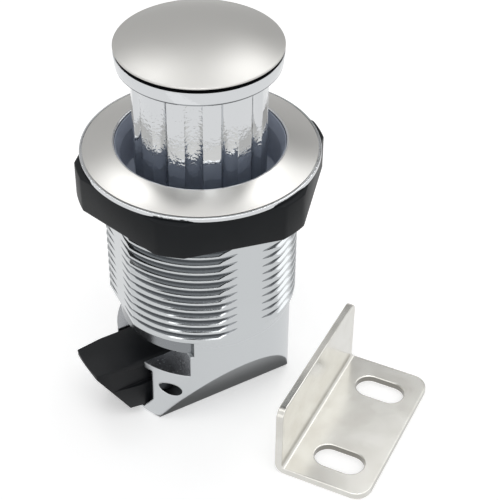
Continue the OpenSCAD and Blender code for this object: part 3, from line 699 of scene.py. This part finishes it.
cap = {
    "outR": 11.15, "low": 16.35, "edge": 0.2, "edgeR": 0.15, "edgeIn": 0.25, "edgeTurn": 160, "edgeBits": 6,
    "rise": 2.05, "domeBits": 24, "bossR": 3.5, "bossLow": 14.2, "holeR": 1.52, "holeTop": 17.55,
}
domeR = (cap["outR"] ** 2 + cap["rise"] ** 2) / (2 * cap["rise"])
domeTop = cap["low"] + cap["edge"] + cap["rise"]
edgeAt = cap["outR"] - cap["edgeR"]
outline = [(0, cap["holeTop"]), (cap["holeR"], cap["holeTop"]), (cap["holeR"], cap["bossLow"]),
           (cap["bossR"], cap["bossLow"]), (cap["bossR"], cap["low"]),
           (cap["outR"] - cap["edgeIn"], cap["low"])]
for bit in range(cap["edgeBits"] + 1):
    angle = math.radians(-90 + cap["edgeTurn"] * bit / cap["edgeBits"])
    outline.append((edgeAt + cap["edgeR"] * math.cos(angle),
                    cap["low"] + cap["edgeR"] + cap["edgeR"] * math.sin(angle)))
for bit in range(1, cap["domeBits"] + 1):
    across = edgeAt * (1 - bit / cap["domeBits"])
    outline.append((across, domeTop - domeR + math.sqrt(domeR ** 2 - across ** 2)))
capPiece = looseObject(turnedShape(outline, 240, closed=False), "cap")
for face in capPiece.data.polygons:
    # painted shade: the cap's underside over the gap is near black
    face.material_index = 1 if face.normal.z < -0.5 else 0
finishPiece(capPiece, "domed_cap", "button", [satinCap, paintedShadeZinc], ["button_cap"])


# ring nut: six flats with turned corners and eased edges

nut = {"flat": 15.75, "cornerR": 17.15, "cornerBits": 6, "low": -5.55, "top": -0.05, "boreR": 13.58,
       "turn": 46.5, "edge": 0.3}
half = math.degrees(math.acos(nut["flat"] / nut["cornerR"]))
arc = 60 - 2 * half
outline = []
for corner in range(6):
    middle = nut["turn"] + 30 + 60 * corner
    for bit in range(nut["cornerBits"] + 1):
        angle = math.radians(middle + half + arc * bit / nut["cornerBits"])
        outline.append(onCircle(nut["cornerR"], angle))
ringNut = looseObject(prismShape(outline, nut["low"], nut["top"], 2), "nut")
combine(ringNut, roundBar(nut["boreR"], nut["low"] - 1, nut["top"] + 1, 2, (0, 0), 144))
softenEdges(ringNut, nut["edge"], 50)
finishPiece(ringNut, "hex_ring_nut", "nut", [blackNylon], ["ring_nut"], 25)


# bolt: sprung tongue with a bevelled underside, side grooves and eased edges

bolt = {
    "back": 3.5, "blockR": 12.8, "tipR": 19.4, "top": -30.65, "low": -39.25, "half": 4.0, "tipNear": 3.0,
    "tipFar": 3.5, "tipBits": 12, "taperX": 11.0, "drop": 0.5, "tip": 0.4, "bevel": 4.9, "chamfer": 0.5,
    "grooveY": 3.35, "grooveTop": -31.55, "grooveLow": -35.15, "grooveEnd": -8.7,
    "boreR": 2.6, "boreEnd": -4.0, "edge": 0.16, "pastSide": 6, "pastTip": -24,
}
back, top, low, half = bolt["back"], bolt["top"], bolt["low"], bolt["half"]
tipTop = top - bolt["drop"]
profile = [(back, top), (-bolt["blockR"], top), (-bolt["tipR"], tipTop),
           (-bolt["tipR"], tipTop - bolt["tip"]), (-bolt["tipR"] + bolt["bevel"], low), (back, low)]
tongue = looseObject(prismShape(profile, -half, half, 1), "bolt")
# seen from above, its end is part of a circle and narrows on the far side
plan = [(back + 1, -half - 1), (back + 1, half + 1), (-bolt["taperX"], half + 1), (-bolt["taperX"], half)]
for bit in range(bolt["tipBits"] + 1):
    y = bolt["tipFar"] - (bolt["tipFar"] + bolt["tipNear"]) * bit / bolt["tipBits"]
    plan.append((-math.sqrt(bolt["tipR"] ** 2 - y ** 2), y))
plan += [(-bolt["blockR"], -half), (-bolt["blockR"], -half - 1)]
combine(tongue, prismShape(plan, low - 2, top + 2, 2), "INTERSECT")
for side in (-1, 1):
    pastSide = side * bolt["pastSide"]
    groove = [(side * bolt["grooveY"], bolt["grooveTop"]), (pastSide, bolt["grooveTop"]),
              (pastSide, bolt["grooveLow"]), (side * bolt["grooveY"], bolt["grooveLow"])]
    combine(tongue, prismShape(groove, bolt["pastTip"], bolt["grooveEnd"], 0))
    chamferAt = side * (half - bolt["chamfer"])
    chamfer = [(chamferAt, top), (chamferAt, top + 2), (pastSide, top + 2), (pastSide, top - bolt["chamfer"]),
               (side * half, top - bolt["chamfer"])]
    combine(tongue, prismShape(chamfer, bolt["pastTip"], back + 2, 0))
combine(tongue, roundBar(bolt["boreR"], bolt["boreEnd"], back + 2, 0, (0, (top + low) / 2), 48))
softenEdges(tongue, bolt["edge"], 25)
finishPiece(tongue, "spring_bolt", "latch", [blackAcetal], ["bolt"], 25)


# strike plate: one blank with rounded edges and two slots, folded up along its back

strike = {
    "long": 26.0, "base": 13.9, "high": 12.0, "thick": 1.1, "foldR": 0.5, "foldBits": 12, "foldFlat": 0.2,
    "cornerR": 2.4, "topR": 1.5, "pitch": 15.6, "slotLong": 7.4, "slotWide": 4.2, "slotEdge": 2.4,
    "edge": 0.16, "weld": 0.0005, "x": -2.0, "y": -23.7, "turn": 33.2, "z": -40.77,
}
long, thick, edge = strike["long"], strike["thick"], strike["edge"]
middleR = strike["foldR"] + thick / 2
foldStart = strike["base"] - strike["foldR"] - thick
foldEnd = foldStart + middleR * math.pi / 2
blankLong = foldEnd + strike["high"] - strike["foldR"] - thick
cornerR, topR = strike["cornerR"] - edge, strike["topR"] - edge
farX, farY = long - edge, blankLong - edge
paths = [rounded([(edge, edge), (farX, edge), (farX, farY), (edge, farY)],
                 [cornerR, cornerR, topR, topR], 10)]
for side in (-1, 1):
    x = long / 2 + side * strike["pitch"] / 2
    y = strike["slotEdge"] + strike["slotLong"] / 2
    slotR = strike["slotWide"] / 2 + edge
    reach = strike["slotLong"] / 2 - strike["slotWide"] / 2
    slot = []
    for centre, turns in ((y + reach, range(0, 181, 10)), (y - reach, range(180, 361, 10))):
        slot += [(x + slotR * math.cos(math.radians(turn)), centre + slotR * math.sin(math.radians(turn)))
                 for turn in turns]
    paths.append(slot)
curve = bpy.data.curves.new("blank", "CURVE")
curve.dimensions, curve.fill_mode = "2D", "BOTH"
curve.extrude, curve.bevel_depth, curve.bevel_resolution = thick / 2 - edge, edge, 3
for path in paths:
    addPath(curve, [(*place, 0) for place in path], closed=True)
blank = curveMesh(curve)
sheet = bmesh.new()
sheet.from_mesh(blank)
bpy.data.meshes.remove(blank)
bmesh.ops.remove_doubles(sheet, verts=sheet.verts, dist=strike["weld"])
# cuts across the fold, with one more on each side that keeps the flat parts' shading flat
foldBits = strike["foldBits"]
folds = [foldStart + (foldEnd - foldStart) * bit / foldBits for bit in range(foldBits + 1)]
for at in [foldStart - strike["foldFlat"]] + folds + [foldEnd + strike["foldFlat"]]:
    bmesh.ops.bisect_plane(sheet, geom=sheet.verts[:] + sheet.edges[:] + sheet.faces[:], dist=1e-5,
                           plane_co=(0, at, 0), plane_no=(0, 1, 0))
for vert in sheet.verts:
    along, up = vert.co.y, vert.co.z
    if along < foldStart:
        vert.co.y, vert.co.z = along - strike["base"], up + thick / 2
    else:
        angle = min(along - foldStart, foldEnd - foldStart) / middleR
        vert.co.y = -strike["foldR"] - thick + (middleR - up) * math.sin(angle)
        vert.co.z = strike["foldR"] + thick - (middleR - up) * math.cos(angle) + max(0, along - foldEnd)
bmesh.ops.recalc_face_normals(sheet, faces=sheet.faces)
for face in sheet.faces:
    at = face.calc_center_median()
    # painted shade: the slot walls take the dark grey, for the shade in the slots
    nearSlot = abs(abs(at.x - long / 2) - strike["pitch"] / 2) < strike["slotWide"] / 2 + edge + near
    inSlot = nearSlot and -strike["base"] + edge < at.y < -strike["foldR"] - thick
    # painted shade: the long outer edge takes a greyer tone, for its shaded side
    onEdge = at.y < -strike["base"] + near
    face.material_index = 0 if abs(face.normal.z) > 0.5 else 1 if inSlot else 2 if onEdge else 0
angled = looseObject(sheet, "strike")
angled.data.transform(Matrix.Translation((strike["x"], strike["y"], strike["z"]))
                      @ Matrix.Rotation(math.radians(strike["turn"]), 4, "Z"))
finishPiece(angled, "strike_angle", "lock", [nickelSteel, shearedEdgeAndShade, cutEdgeAndShade],
            ["strike_plate"], 9)


# springs: wound wire with closed end turns

def springPiece(name, node, spring, place):
    meanR, wireR, turns, perTurn = spring["meanR"], spring["wireR"], spring["turns"], 32
    length = spring["end"] - spring["start"]
    rise = length - 2 * wireR
    steps = int(turns * perTurn)
    ends = 1 / turns
    points = []
    for step in range(steps + 1):
        turned = step / perTurn
        share = step / steps
        # one flat turn at each end, the rest evenly wound
        climb = min(1, max(0, (share - ends * 0.8) / (1 - 1.6 * ends)))
        startTurn, endTurn = min(1, share / ends), max(0, (share - 1 + ends) / ends)
        lift = wireR + rise * (0.04 * startTurn + 0.92 * climb + 0.04 * endTurn)
        points.append((*onCircle(meanR, 2 * math.pi * turned), lift))
    wire = bpy.data.curves.new(name, "CURVE")
    wire.dimensions = "3D"
    wire.bevel_depth, wire.bevel_resolution, wire.use_fill_caps = wireR, 3, True
    addPath(wire, points)
    piece = newObject(name, curveMesh(wire))
    piece.data.transform(place)
    finishPiece(piece, name, "lock", [springWire], [node], 40)
    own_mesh(piece)


buttonSpring = {"meanR": 5.6, "wireR": 0.45, "turns": 11, "start": -24.73, "end": 10.26, "travel": 14.0}
springPiece("button_coil", "button_spring", buttonSpring,
            Matrix.Translation((0, 0, buttonSpring["start"])))
boltSpring = {"meanR": 2.0, "wireR": 0.3, "turns": 11, "start": -3.98, "end": 10.38, "travel": 6.2,
              "z": -34.95}
alongX = Matrix.Rotation(math.pi / 2, 4, "Y")
springPiece("bolt_coil", "bolt_spring", boltSpring,
            Matrix.Translation((boltSpring["start"], 0, boltSpring["z"])) @ alongX)


# pin beside the bolt: its rounded end shows in the cross hole

boltPin = {
    "r": 1.1, "x": -9.9, "z": -33.95, "inner": -3.55, "outer": -6.95,
    # the two ends: narrower than the pin and how far from the end
    "innerRound": [(0.2, 0), (0.06, 0.06), (0, 0.2)], "outerRound": [(0, 0.35), (0.1, 0.12), (0.35, 0)],
}
pinLong = boltPin["inner"] - boltPin["outer"]
outline = [(0, 0)]
outline += [(boltPin["r"] - narrower, away) for narrower, away in boltPin["innerRound"]]
outline += [(boltPin["r"] - narrower, pinLong - away) for narrower, away in boltPin["outerRound"]]
outline += [(0, pinLong)]
pinPiece = looseObject(turnedShape(outline, 48, closed=False), "pin")
pinPiece.data.transform(Matrix.Translation((boltPin["x"], boltPin["inner"], boltPin["z"]))
                        @ Matrix.Rotation(math.pi / 2, 4, "X"))
# painted shade: the pin is near black, for the shade in the cross hole
finishPiece(pinPiece, "bolt_guide_pin", "lock", [paintedShadeZinc], ["bolt_pin"])


# inner pieces that stay as the frame has them

finishes = {"ratchet_sleeve": whiteAcetal, "ratchet_ring": whiteAcetal, "spring_washer": zincSteel,
            "cap_screw": zincSteel, "stem_clip": zincSteel, "lock_plunger": blackAcetal,
            "spring_pin": zincSteel}
for name, material in finishes.items():
    mesh = nodes[name].data
    mesh.materials.clear()
    mesh.materials.append(material)
print("pieces ready")


# stage: pale floor, soft light and the camera; places here are in the photograph's own directions, X to the
# right, Y away from the camera and Z up, in millimetres

view = {
    "turn": 29.0, "back": 155.70, "up": 109.15, "pitch": 0.6841, "yaw": 0.0441, "roll": 0.0124,
    "focal": 1398.9, "wide": 500,  # both in pixels of the photograph
    "sensor": 36,
}
pitch, yaw, roll = view["pitch"], view["yaw"], view["roll"]
spin = Matrix.Rotation(-math.radians(view["turn"]), 3, "Z")
ahead = Vector((math.sin(yaw) * math.cos(pitch), math.cos(yaw) * math.cos(pitch), -math.sin(pitch)))
right = Vector((math.cos(yaw), -math.sin(yaw), 0))
upward = right.cross(ahead)
tiltedRight = right * math.cos(roll) + upward * math.sin(roll)
tiltedUp = upward * math.cos(roll) - right * math.sin(roll)
camera = bpy.data.cameras.new("camera")
camera.sensor_width = view["sensor"]
camera.lens = view["sensor"] * view["focal"] / view["wide"]
camera.clip_start, camera.clip_end = 0.01, 20
cameraObject = newObject("camera", camera)
pose = Matrix([spin @ axis for axis in (tiltedRight, tiltedUp, -ahead)]).transposed().to_4x4()
pose.translation = spin @ Vector((0, -view["back"], view["up"])) * mm
cameraObject.matrix_world = pose
bpy.context.scene.camera = cameraObject
bpy.context.scene.view_settings.view_transform = "Standard"

floorLook = {"z": -40.77, "gap": 0.01, "half": 1500, "colour": "#F2F2F2", "lift": 0.36, "ambient": 0.58}
floorShape = bmesh.new()
bmesh.ops.create_grid(floorShape, x_segments=1, y_segments=1, size=floorLook["half"] * mm)
floor = looseObject(floorShape, "floor")
floor.location.z = (floorLook["z"] - floorLook["gap"]) * mm


def seenRays(tree):
    # 1 for what the camera sees, directly, in a mirror or through something clear
    light = addNode(tree, "ShaderNodeLightPath")
    clear = addNode(tree, "ShaderNodeMath",
                    links=[(light, "Is Camera Ray", 0), (light, "Is Transmission Ray", 1)])
    return addNode(tree, "ShaderNodeMath", links=[(clear, "Value", 0), (light, "Is Glossy Ray", 1)],
                   use_clamp=True)


# matt white paper, lifted a little for the eye so that it runs out to white
paperMaterial, tree = startMaterial("matt white paper")
paper = addNode(tree, "ShaderNodeBsdfDiffuse", {"Color": linear(floorLook["colour"])})
glow = addNode(tree, "ShaderNodeMath", {1: floorLook["lift"]}, [(seenRays(tree), "Value", 0)],
               operation="MULTIPLY")
shine = addNode(tree, "ShaderNodeEmission", links=[(glow, "Value", "Strength")])
lifted = addNode(tree, "ShaderNodeAddShader", links=[(paper, "BSDF", 0), (shine, "Emission", 1)])
# metal shows it as plain white
mirrored = addNode(tree, "ShaderNodeLightPath")
plain = addNode(tree, "ShaderNodeEmission", {"Strength": 1.0})
either = addNode(tree, "ShaderNodeMixShader",
                 links=[(mirrored, "Is Glossy Ray", 0), (lifted, "Shader", 1), (plain, "Emission", 2)])
addNode(tree, "ShaderNodeOutputMaterial", links=[(either, "Shader", "Surface")])
floor.data.materials.append(paperMaterial)

# soft light from all round, which the eye and mirrors see as white
world = bpy.data.worlds.new("studio")
bpy.context.scene.world = world
world.use_nodes = True
tree = world.node_tree
tree.nodes.clear()
dim, white = [addNode(tree, "ShaderNodeBackground", {"Color": (1, 1, 1, 1), "Strength": strength})
              for strength in (floorLook["ambient"], 1.0)]
either = addNode(tree, "ShaderNodeMixShader",
                 links=[(seenRays(tree), "Value", 0), (dim, "Background", 1), (white, "Background", 2)])
addNode(tree, "ShaderNodeOutputWorld", links=[(either, "Shader", "Surface")])


def putAt(item, place, aim):
    item.location = spin @ Vector(place) * mm
    item.rotation_euler = (spin @ (Vector(aim) - Vector(place))).to_track_quat("-Z", "Y").to_euler()


# softboxes: brightness is what a mirror would show of them, with white paper at 1
lamps = {
    "leftBox": {"place": (-135, 200, 344), "size": (110, 150), "bright": 2.1},
    "rightBox": {"place": (135, 200, 344), "size": (120, 160), "bright": 2.15},
    "frontBox": {"place": (0, -170, 480), "size": (420, 300), "bright": 1.6},
}
for name, lamp in lamps.items():
    light = bpy.data.lights.new(name, "AREA")
    light.shape = "RECTANGLE"
    light.size, light.size_y = lamp["size"][0] * mm, lamp["size"][1] * mm
    light.energy = lamp["bright"] * math.pi * light.size * light.size_y
    putAt(newObject(name, light), lamp["place"], (0, 0, 0))

# grey and white cards that only mirrors see: the studio beyond the paper, and a few close to the metal
cards = {
    "backCard": {"place": (0, 520, 200), "aim": (0, 0, 200), "size": (1600, 640), "bright": 0.58},
    "windowCard": {"place": (110, 510, 570), "aim": (110, 0, 570), "size": (220, 140), "bright": 1.3},
    "capCard": {"place": (-8, 60, 81), "aim": (-8, 0, 81), "size": (74, 62), "bright": 0.55},
    # paper under the button's rim, so that the front of the rosette mirrors no dark cup there
    "rimCard": {"place": (0, -10.2, 13.7), "aim": (0, -10.2, -100), "size": (14, 2.2), "bright": 1.1},
    "sideCard": {"place": (210, 505, 355), "aim": (210, 0, 355), "size": (240, 230), "bright": 0.25},
    "whiteCard": {"place": (214, 157, 257), "aim": (15, -22, -40), "size": (150, 150), "bright": 1.75},
    "frontCard": {"place": (0, -520, 110), "aim": (0, 0, 110), "size": (1600, 300), "bright": 1.5},
    # white paper between the lock and the strike, so that the barrel shows no image of the strike
    "strikeCard": {"place": (12.3, -8.3, -31.8), "aim": (3.4, -3.7, -31.8), "size": (34, 18), "bright": 1.0},
    # shade under the block, which the slopes above the floor mirror
    "underCard": {"place": (0, 0, -40.75), "aim": (0, 0, 100), "size": (23, 23), "bright": 0.12},
}
for name, card in cards.items():
    cardShape = bmesh.new()
    bmesh.ops.create_grid(cardShape, x_segments=1, y_segments=1, size=0.5)
    bmesh.ops.scale(cardShape, vec=(card["size"][0] * mm, card["size"][1] * mm, 1), verts=cardShape.verts)
    cardObject = looseObject(cardShape, name)
    putAt(cardObject, card["place"], card["aim"])
    cardMaterial, tree = startMaterial("matt board " + name)
    tone = addNode(tree, "ShaderNodeEmission", {"Color": (1, 1, 1, 1), "Strength": card["bright"]})
    addNode(tree, "ShaderNodeOutputMaterial", links=[(tone, "Emission", "Surface")])
    cardObject.data.materials.append(cardMaterial)
    cardObject.visible_camera = False
    cardObject.visible_diffuse = False
    cardObject.visible_shadow = False
print("stage ready")

bpy.context.view_layer.update()
